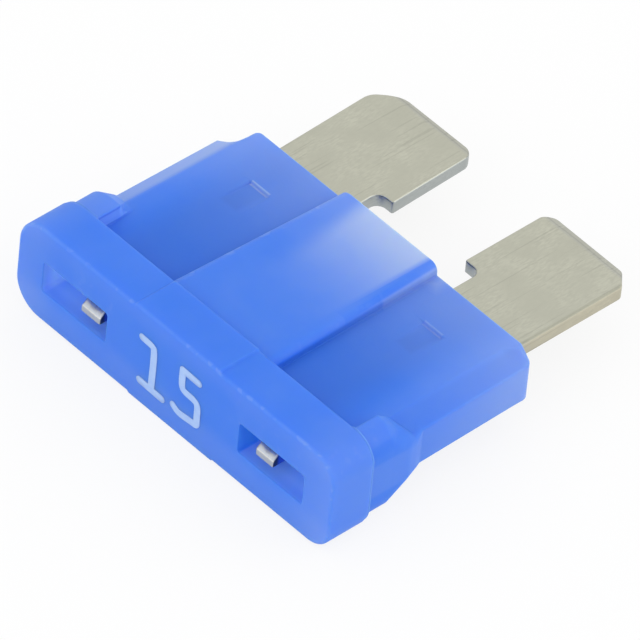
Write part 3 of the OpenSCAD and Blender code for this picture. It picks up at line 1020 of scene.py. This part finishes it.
def patch(tree, at, middle, half, soft, amount=1.0):
    """A soft box on the folded point, so that it lies on both faces, times its amount."""
    mask = use_group(tree, SOFT_BOX, Point=at.folded, Middle=middle, Half=half, Soft=soft)[0]
    return mask if amount == 1.0 else times(tree, mask, amount)


def patches(tree, at, table):
    """All the patches of a table."""
    return [patch(tree, at, *row) for row in table.values()]


print(len(PAINTED_LIGHT_PATCHES), "milky patches and", len(SHADY_PATCHES), "shady ones")

# %% The painted light over the hollow
def painted_light_on_bulge(tree, at, body):
    """Shares of painted light for the bulge. Over the hollow it grows with a power of the way along y,
    from a slanted left border to the right one. The bulge's left side and its right round edge get less of
    it, so they are bluer."""
    on_bulge = times(tree, rise(tree, at.height, 1.75, 1.95), body)
    hollow_left = rise(tree, add(tree, at.x, times(tree, at.y, 0.125)), -0.6, 0.5)
    hollow_right = rise(tree, at.x, 2.3, 2.6, 1.0, 0.0)
    along = maths(tree, "POWER", rise(tree, at.y, 1.0, 14.0), 3.2)
    glow = times(tree, on_bulge, hollow_left, hollow_right, along, 0.65)
    round_edge = times(tree, patch(tree, at, *ROUND_EDGE), rise(tree, at.y, 5.0, 10.0))
    left_side = times(tree, rise(tree, at.x, -2.0, -0.8, 1.0, 0.0), rise(tree, at.y, 4.0, 8.0))
    return [glow, round_edge, times(tree, on_bulge, left_side, -0.07), times(tree, on_bulge, 0.05)]


# %% The painted light of the body
def painted_light_on_body(tree, at, body):
    """Shares of painted light for the far end, which follows a power of the way along y, the steep left
    bevel, the narrow band and the bevel on both sides, and the panel beside the hollow."""
    far = maths(tree, "POWER", rise(tree, at.y, 2.0, HOUSING_LEN + 2.5), 1.6)
    left_edge = times(tree, rise(tree, at.x, -8.3, -7.8, 1.0, 0.0), rise(tree, at.y, 4.0, 4.6))
    left_bevel = times(tree, left_edge, rise(tree, at.height, 0.7, 1.0), 0.33)
    on_band = times(tree, rise(tree, at.across, 8.6, 8.85), rise(tree, at.height, 0.75, 1.0, 1.0, 0.0))
    bevel = times(tree, rise(tree, at.across, 6.6, 8.0), body, 0.05)
    beside_hollow = times(tree, patch(tree, at, *BESIDE_HOLLOW), body)
    band = times(tree, on_band, body, 0.07)
    return [times(tree, far, body, 0.35), left_bevel, band, bevel, beside_hollow]


# %% The painted light of the head
def painted_light_on_head(tree, at, body):
    """Shares of painted light for the whole head, its two ends, and the lower, upper and outer parts of
    its face.
    """
    in_head = maths(tree, "SUBTRACT", 1.0, body)
    front = rise(tree, at.y, 0.02, 0.2, 1.0, 0.0)
    low_face, high_face = rise(tree, at.z, -0.4, -1.5, 0.0, 0.08), rise(tree, at.z, 1.2, 2.2, 0.0, 0.04)
    outer_face = rise(tree, at.across, 6.0, 9.0, 0.0, 0.03)
    face = times(tree, front, add(tree, low_face, high_face, outer_face))
    ends = times(tree, in_head, rise(tree, at.across, 6.8, 9.4), 0.09)
    return [face, ends, times(tree, in_head, 0.04)]


# %% The shade of the panels
def panel_shade(tree, at, body):
    """Shares of shade: the panels, more so near the head and the bulge, the thin line at the back
    of the head, the staking marks and the right bevel."""
    on_panel = times(tree, rise(tree, at.height, 1.75, 1.9, 1.0, 0.0), rise(tree, at.height, 1.25, 1.5))
    inward, near_head = rise(tree, at.across, 5.4, 7.7, 1.0, 0.05), rise(tree, at.y, 5.0, 12.5, 0.24, 0.12)
    line_start = rise(tree, at.y, HEAD_LEN - 0.11, HEAD_LEN - 0.05)
    line_end = rise(tree, at.y, HEAD_LEN - 0.008, HEAD_LEN - 0.001, 1.0, 0.0)
    back_line = times(tree, line_start, line_end, rise(tree, at.across, 6.0, 8.0), 0.2)
    panels = times(tree, body, on_panel, inward, near_head)
    return add(tree, panels, back_line, *patches(tree, at, SHADY_PATCHES))


# %% [markdown]
# The light that enters the plastic comes out again inside the two test pockets, which look deeper and
# brighter blue than shade alone would make them. So that light is painted on their walls: blues of their
# own, and a very faint glow, which isn't a lamp for the rest of the scene.

# %% The pockets
POCKET_LIT_BLUE, INNER_LIT_BLUE, OUTER_LIT_BLUE = linear(138, 184, 254), linear(70, 160, 255), linear(165, 205, 255)
NO_GLOW, POCKET_GLOW = (0.0, 0.0, 0.0, 1.0), (0.002, 0.006, 0.03, 1.0)
OUTER_GLOW = (0.02, 0.045, 0.12, 1.0)
POCKET_MID_Y = 0.9


def pocket_finish(tree, at):
    """How far in a pocket each place is, the pockets' painted light blue, and their glow. The inner wall
    of the right pocket and the outer wall of the left one, which face the light, have painted blues of
    their own."""
    middles = [(x, POCKET_MID_Y, 0.0) for x in POCKET_MIDDLES]
    masks = [patch(tree, at, middle, (2.1, 0.88, 1.0), 0.02) for middle in middles]
    deeper = add(tree, rise(tree, at.y, 0.0, 0.12, 0.0, 0.45), rise(tree, at.y, 0.1, 0.8, 0.0, 0.55))
    inside = times(tree, maths(tree, "MAXIMUM", *masks), deeper)
    outer_x, inner_x = (middle - POCKET_W / 2 for middle in POCKET_MIDDLES)
    inner_wall = patch(tree, at, (inner_x, POCKET_MID_Y, 0.0), (0.1, 1.0, 1.0), 0.1)
    outer_wall = patch(tree, at, (outer_x, POCKET_MID_Y, 0.0), (0.15, 1.0, 1.0), 0.25)
    blue = tint(tree, outer_wall, tint(tree, inner_wall, POCKET_LIT_BLUE, INNER_LIT_BLUE), OUTER_LIT_BLUE)
    glow = tint(tree, inside, NO_GLOW, tint(tree, outer_wall, POCKET_GLOW, OUTER_GLOW))
    return inside, blue, glow


# %% The milky plastic
def make_plastic():
    """The painted light mixes the deep and the pale blue, then the painted shade and the pockets' painted
    light blue are mixed in. The bump is the fine grain, and the roughness follows the clouds."""
    material, tree, shader = new_material("milky_blue_plastic")
    at = places(tree)
    body = rise(tree, at.y, HEAD_LEN - 0.1, HEAD_LEN + 0.2)
    clouds = use_group(tree, MOTTLE, Point=at.point, Cloud=0.45, Grain=9.0)
    edges = use_group(tree, EDGE_HIGHLIGHT, Point=at.point, Break=0.6, Size=2.2)
    # Painted highlight along the round edges, turned to a little painted shade on the right bevel, with
    # the random mottle and the painted bright specks.
    line = times(tree, edges["Line"], rise(tree, at.x, 7.6, 8.8, 0.12, -0.08))
    mottle_and_edge_highlight = [times(tree, clouds["Tone"], 0.12), line, times(tree, edges["Specks"], 0.24)]
    shares = [*painted_light_on_bulge(tree, at, body), *painted_light_on_body(tree, at, body), *painted_light_on_head(tree, at, body)]
    painted_light = add(tree, *shares, *patches(tree, at, PAINTED_LIGHT_PATCHES), *mottle_and_edge_highlight)
    colour = tint(tree, maths(tree, "MULTIPLY", painted_light, 1.0, clamp=True), DEEP_BLUE, PAINTED_LIGHT_BLUE)
    colour = tint(tree, panel_shade(tree, at, body), colour, SHADE_BLUE)
    inside, pocket_lit_blue, glow = pocket_finish(tree, at)
    # The inner wall of the left shoulder block takes the pockets' painted light blue too.
    inside = maths(tree, "MAXIMUM", inside, patch(tree, at, *BLOCK_WALL))
    rough = rise(tree, clouds["Tone"], -0.2, 0.2, 0.5, 0.6)
    rough = add(tree, rough, times(tree, edges["Line"], -0.05), patch(tree, at, *MATT_FOOT))
    bump = {"Height": clouds["Height"], "Strength": 0.12, "Distance": 0.02 * MM}
    set_inputs(tree, shader, {
        "Base Color": tint(tree, inside, colour, pocket_lit_blue), "Roughness": rough,
        "Normal": node(tree, "Bump", bump).outputs[0], "Specular IOR Level": 0.28,
        "Emission Color": glow, "Emission Strength": 1.0, "Subsurface Weight": 0.6,
        "Subsurface Radius": (0.25, 0.5, 1.0), "Subsurface Scale": 1.0 * MM,
    })
    material.cycles.emission_sampling = "NONE"
    return material


# %% [markdown]
# The metal is tinned alloy strip. Its faces were rolled along the strip, which leaves fine lines
# that run lengthwise, so their noise is stretched along Y. The punch shears the sides, which look
# a little bluer, but pale on the outer side of the right blade. The coined lead at the tip is plainer.
# The two test tips stand in the blue pockets, so the pockets' blue is painted on them as a reflection,
# with a painted highlight on their ridge and painted shade on their sides.

# %% The blades' colour
FACE_TIN, LEAD_TIN = linear(187, 187, 172), linear(178, 179, 171)
SIDE_TIN, SHEAR_TIN = linear(172, 177, 175), linear(202, 198, 180)
GROOVE_GREY, RIDGE_HIGHLIGHT_GREY = (0.2, 0.2, 0.19, 1.0), (0.6, 0.6, 0.57, 1.0)
POCKET_REFLECTION_TIN = linear(172, 180, 204)
FRONT_SHADE, BACK_SHADE = (0.03, 0.04, 0.07, 1.0), (0.05, 0.15, 0.6, 1.0)
ACROSS_SCALE = 9.0


def along_strip(tree, point, scale):
    """The point scaled for noise that is finer across the strip than along it."""
    values = {"Vector": point, "Scale": (ACROSS_SCALE, scale, ACROSS_SCALE)}
    return node(tree, "Mapping", values).outputs[0]


def blade_colour(tree, at, up, clouds):
    """Faces and sheared sides have their own tones. Past a wandering line near the tip comes the
    coined lead, with a darker groove in it."""
    side = tint(tree, rise(tree, at.x, 6.9, 7.2), SIDE_TIN, SHEAR_TIN)
    colour = tint(tree, rise(tree, up, 0.5, 0.9), side, FACE_TIN)
    wander = maths(tree, "MULTIPLY_ADD", clouds["Tone"], 0.12, at.y)
    colour = tint(tree, rise(tree, wander, TOTAL_LEN - 0.3, TOTAL_LEN - 0.2, 0.0, 0.6), colour, LEAD_TIN)
    groove = maths(tree, "ABSOLUTE", maths(tree, "SUBTRACT", wander, TOTAL_LEN - 0.12))
    return tint(tree, rise(tree, groove, 0.02, 0.05, 0.25, 0.0), colour, GROOVE_GREY)


def tip_colour(tree, at, outward, colour):
    """In the pockets the pockets' blue is painted on the metal as a reflection, a painted highlight lies
    on the ridge where it was rolled over, and painted shade lies on the sides, dark in front and deep blue
    behind."""
    in_pocket = rise(tree, at.y, 1.0, 1.8, 1.0, 0.0)
    colour = tint(tree, maths(tree, "MULTIPLY", in_pocket, 0.5), colour, POCKET_REFLECTION_TIN)
    middle, half = (0, TEST_SETBACK + 0.03, METAL_Z - TIP_DROP), (20, 0.05, 0.02)
    ridge_highlight = use_group(tree, SOFT_BOX, Point=at.point, Middle=middle, Half=half, Soft=0.05)[0]
    colour = tint(tree, ridge_highlight, colour, RIDGE_HIGHLIGHT_GREY)
    in_shade = maths(tree, "MULTIPLY", in_pocket, rise(tree, outward, 0.6, 0.9, 0.0, 0.85))
    return tint(tree, in_shade, colour, tint(tree, rise(tree, at.y, 0.3, 0.5), FRONT_SHADE, BACK_SHADE))


# %% The tinned metal
def make_metal():
    """The colour is scaled by a level of about 1, to which the clouds and the drawn lines add and
    from which a few deep scratches take. The roughness follows the same lines."""
    material, tree, shader = new_material("tinned_alloy")
    at = places(tree)
    normal = node(tree, "SeparateXYZ", {0: node(tree, "TexCoord").outputs["Normal"]}).outputs
    outward, up = maths(tree, "ABSOLUTE", normal[0]), maths(tree, "ABSOLUTE", normal[2])
    lines = noise(tree, along_strip(tree, at.point, 2.2), 1.6, 4.0)
    scratch = rise(tree, noise(tree, along_strip(tree, at.point, 0.12), 1.1, 0.0), 0.7, 0.74)
    clouds = use_group(tree, MOTTLE, Point=at.point, Cloud=0.8, Grain=14.0)
    colour = tip_colour(tree, at, outward, blade_colour(tree, at, up, clouds))
    uneven = rise(tree, clouds["Tone"], -0.12, 0.12, 0.5, 1.5)
    drawn = times(tree, rise(tree, lines, 0.3, 0.7, -0.05, 0.05), uneven)
    tone = maths(tree, "MULTIPLY_ADD", clouds["Tone"], 0.18, drawn)
    level = maths(tree, "SUBTRACT", add(tree, tone, 1.0), times(tree, scratch, 0.1))
    rough = add(tree, rise(tree, lines, 0.3, 0.7, 0.3, 0.42), rise(tree, at.x, 7.15, 7.3, 0.0, 0.35))
    bump = {"Height": lines, "Strength": 0.15, "Distance": 0.02 * MM}
    set_inputs(tree, shader, {
        "Base Color": node(tree, "VectorMath", {0: colour, "Scale": level}, operation="SCALE").outputs[0],
        "Metallic": 1.0, "Roughness": rough, "Normal": node(tree, "Bump", bump).outputs[0],
    })
    return material


# %% [markdown]
# The number is pad printed in a pale ink, which is thin enough for the blue to show through in
# places.

# %% The print
INK, THIN_INK = linear(166, 194, 238), linear(138, 174, 238)


def make_ink():
    """The ink mixes with the blue below it where the clouds are high."""
    material, tree, shader = new_material("pale_print")
    clouds = use_group(tree, MOTTLE, Point=fuse_point(tree), Cloud=3.0, Grain=20.0)
    thin = rise(tree, clouds["Tone"], -0.15, 0.2, 0.0, 0.35)
    set_inputs(tree, shader, {"Base Color": tint(tree, thin, INK, THIN_INK), "Roughness": 0.55})
    return material


def finish_piece(piece, material):
    """Gives a piece its one material."""
    piece.data.materials.clear()
    piece.data.materials.append(material)
    print(piece.name, "is finished in", material.name)


finish_piece(housing, make_plastic())
finish_piece(element, make_metal())
finish_piece(number, make_ink())

# %% [markdown]
# The camera stands far off with a long lens, as for a catalogue picture, so that parallel edges stay
# nearly parallel. Its direction, roll and aim were fitted to the fuse's edges in the photo.

# %% Camera
AZIMUTH, ELEVATION, ROLL_ANGLE = 43.633, 43.537, 5.911
AIM = (0.961, 7.223, 0.0)
DISTANCE, LENS, SENSOR = 670.6 * MM, 925.1, 36
CLIP_START, CLIP_END = 0.01, 20


def aim_camera():
    """Looks along the azimuth and down by the elevation at the aim, from the distance. The roll
    turns the camera's right and up directions about that line, by cosine and sine."""
    az, el, roll = (math.radians(a) for a in (AZIMUTH, ELEVATION, ROLL_ANGLE))
    level = Vector((math.cos(az), math.sin(az), 0))
    ahead = Vector((-math.sin(az) * math.cos(el), math.cos(az) * math.cos(el), -math.sin(el)))
    up = level.cross(ahead)
    right = level * math.cos(roll) + up * math.sin(roll)
    up = up * math.cos(roll) - level * math.sin(roll)
    target = Vector(to_frame([AIM])[0])
    camera = bpy.data.objects.new("camera", bpy.data.cameras.new("camera"))
    camera.data.lens = LENS
    camera.data.sensor_width = SENSOR
    camera.data.clip_start = CLIP_START
    camera.data.clip_end = CLIP_END
    rotation = Matrix((right, up, -ahead)).transposed().to_4x4()
    camera.matrix_world = Matrix.Translation(target - ahead * DISTANCE) @ rotation
    scene.collection.objects.link(camera)
    scene.camera = camera
    print("the camera stands at", [round(x, 3) for x in camera.matrix_world.translation], "m")


aim_camera()

# %% [markdown]
# The fuse lies in a white light tent. The world lights it evenly from all round, and three large
# soft lamps add a little from the back left, the front and the right, so that round edges catch a
# line of light. The camera, glossy and transmission rays see the floor as white paper, and the
# part of it that isn't painted white still takes the fuse's soft shadow.

# %% The floor
WHITE_SHARE, FLOOR_HALF = 0.85, 3.0
PAPER = {"Base Color": (0.9, 0.9, 0.9, 1.0), "Roughness": 0.95, "Specular IOR Level": 0.0}


def make_floor():
    """A square of paper at z = 0. For the rays that see it, a share of it is plain white light."""
    mesh = bpy.data.meshes.new("floor")
    corners = FLOOR_HALF * np.array([[-1, -1, 0], [1, -1, 0], [1, 1, 0], [-1, 1, 0]])
    mesh.from_pydata(corners.tolist(), [], [(0, 1, 2, 3)])
    floor = bpy.data.objects.new("floor", mesh)
    scene.collection.objects.link(floor)
    material, tree, shader = new_material("paper")
    set_inputs(tree, shader, PAPER)
    rays = node(tree, "LightPath").outputs
    seen = maths(tree, "MAXIMUM", rays["Is Camera Ray"], rays["Is Glossy Ray"])
    seen = maths(tree, "MAXIMUM", seen, rays["Is Transmission Ray"])
    share = maths(tree, "MULTIPLY", seen, WHITE_SHARE)
    white = node(tree, "Emission", {"Color": (1, 1, 1, 1), "Strength": 1.0}).outputs[0]
    mixed_shader = node(tree, "MixShader", {0: share, 1: shader.outputs[0], 2: white}).outputs[0]
    tree.links.new(mixed_shader, tree.nodes["Material Output"].inputs["Surface"])
    floor.data.materials.append(material)


# %% The world and the lamps
WORLD_LEVEL = 0.86
LAMP_AWAY, LAMP_SIZE = 0.9, 1.0
# Each lamp's direction from the fuse, and its power in watts
LAMPS = {
    "back_left": ((-0.5, 0.53, 0.69), 0.5),
    "front": ((-0.1, -0.9, 0.3), 2.7),
    "right": ((0.69, 0.53, 0.5), 2.7),
}


def make_light():
    """A plain white world, and square lamps that all face the fuse from the same distance."""
    world = bpy.data.worlds.new("tent")
    scene.world = world
    world.use_nodes = True
    values = {"Color": (1, 1, 1, 1), "Strength": WORLD_LEVEL}
    set_inputs(world.node_tree, world.node_tree.nodes["Background"], values)
    target = Vector(to_frame([AIM])[0])
    for name, (way, power) in LAMPS.items():
        lamp = bpy.data.lights.new(name, "AREA")
        lamp.size = LAMP_SIZE
        lamp.energy = power
        holder = bpy.data.objects.new(name, lamp)
        direction = Vector(way).normalized()
        holder.location = target + direction * LAMP_AWAY
        holder.rotation_euler = direction.to_track_quat("Z", "Y").to_euler()
        scene.collection.objects.link(holder)
    print("world", WORLD_LEVEL, "and", len(LAMPS), "lamps")


make_floor()
make_light()
scene.view_settings.view_transform = "Standard"
